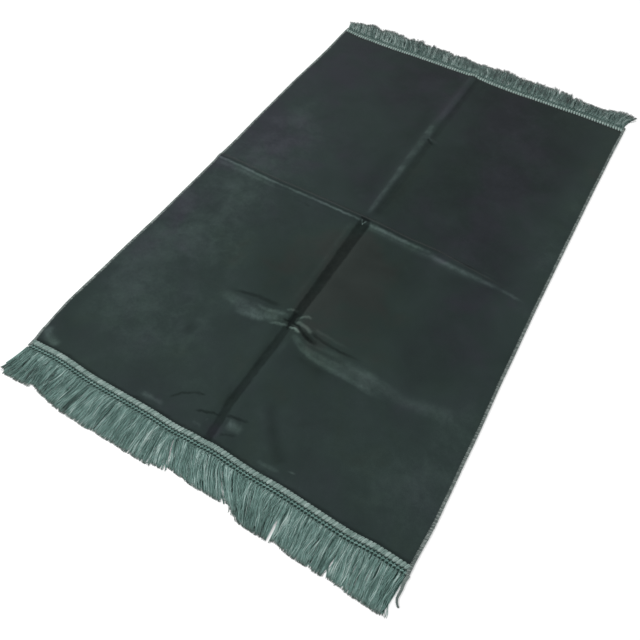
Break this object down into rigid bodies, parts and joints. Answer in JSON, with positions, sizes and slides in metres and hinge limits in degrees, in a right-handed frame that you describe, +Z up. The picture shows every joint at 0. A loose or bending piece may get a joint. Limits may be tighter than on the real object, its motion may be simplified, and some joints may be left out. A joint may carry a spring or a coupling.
{
  "type": "prayer rug",
  "caption": "Flat velour prayer rug with overlocked sides, ribbed headings, a yarn fringe on both short ends and the soft creases left by folding it in four.",
  "frame": {"origin": "on the floor, at the middle of the whole rug with its fringes", "axes": "+Y along the rug from the near end to the far end, +X across it to the right, +Z up, out of the pile"},
  "size_m": [0.715, 1.2043, 0.0085],
  "materials": {
    "velour": "short-pile velour with a soft nap",
    "overlock_thread": "twisted thread",
    "heading_braid": "whipped braid",
    "fringe_yarn": "soft loose yarn"
  },
  "bodies": {
    "root": {"rug_cloth": "velour", "side_serging_left": "overlock_thread", "side_serging_right": "overlock_thread", "heading_near": "heading_braid", "heading_far": "heading_braid", "fringe_near": "fringe_yarn", "fringe_far": "fringe_yarn", "thread_tail": "overlock_thread"}
  },
  "joints": []
}
